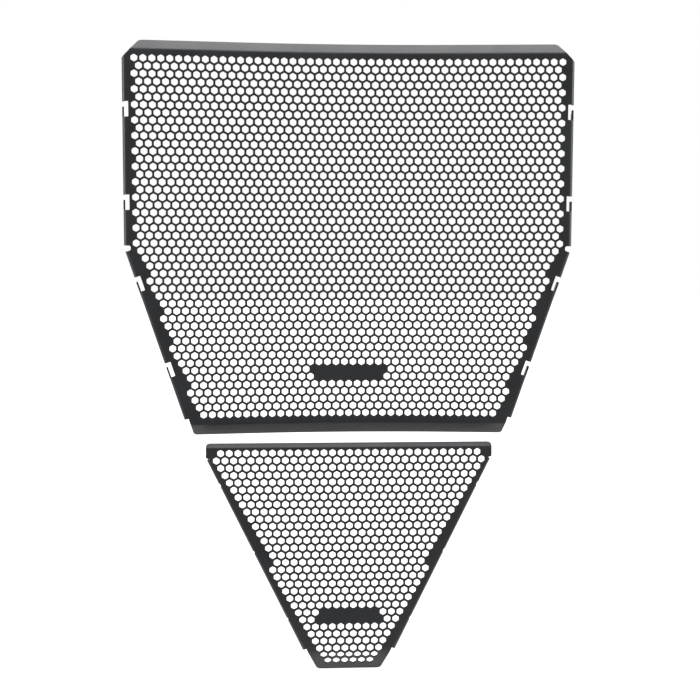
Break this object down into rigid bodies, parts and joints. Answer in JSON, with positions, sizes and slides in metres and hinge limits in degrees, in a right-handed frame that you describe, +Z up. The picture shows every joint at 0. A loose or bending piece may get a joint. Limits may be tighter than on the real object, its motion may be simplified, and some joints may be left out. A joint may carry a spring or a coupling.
{
  "type": "motorcycle radiator guard",
  "caption": "Two-panel motorcycle radiator guard: a wide upper panel and a narrow tapered lower one, folded from thin sheet with honeycomb openings, lips and hook slots.",
  "frame": {"origin": "centre of the box around both guards, as they stand one above the other when fitted", "axes": "+X to the right of someone who faces the guards, +Y to the rear where the radiator is, +Z up"},
  "size_m": [0.389, 0.0268, 0.5524],
  "materials": {
    "guard_coat": "satin black powder coat on aluminium sheet"
  },
  "bodies": {
    "root": {"upper_guard": "guard_coat", "lower_guard": "guard_coat"}
  },
  "joints": []
}
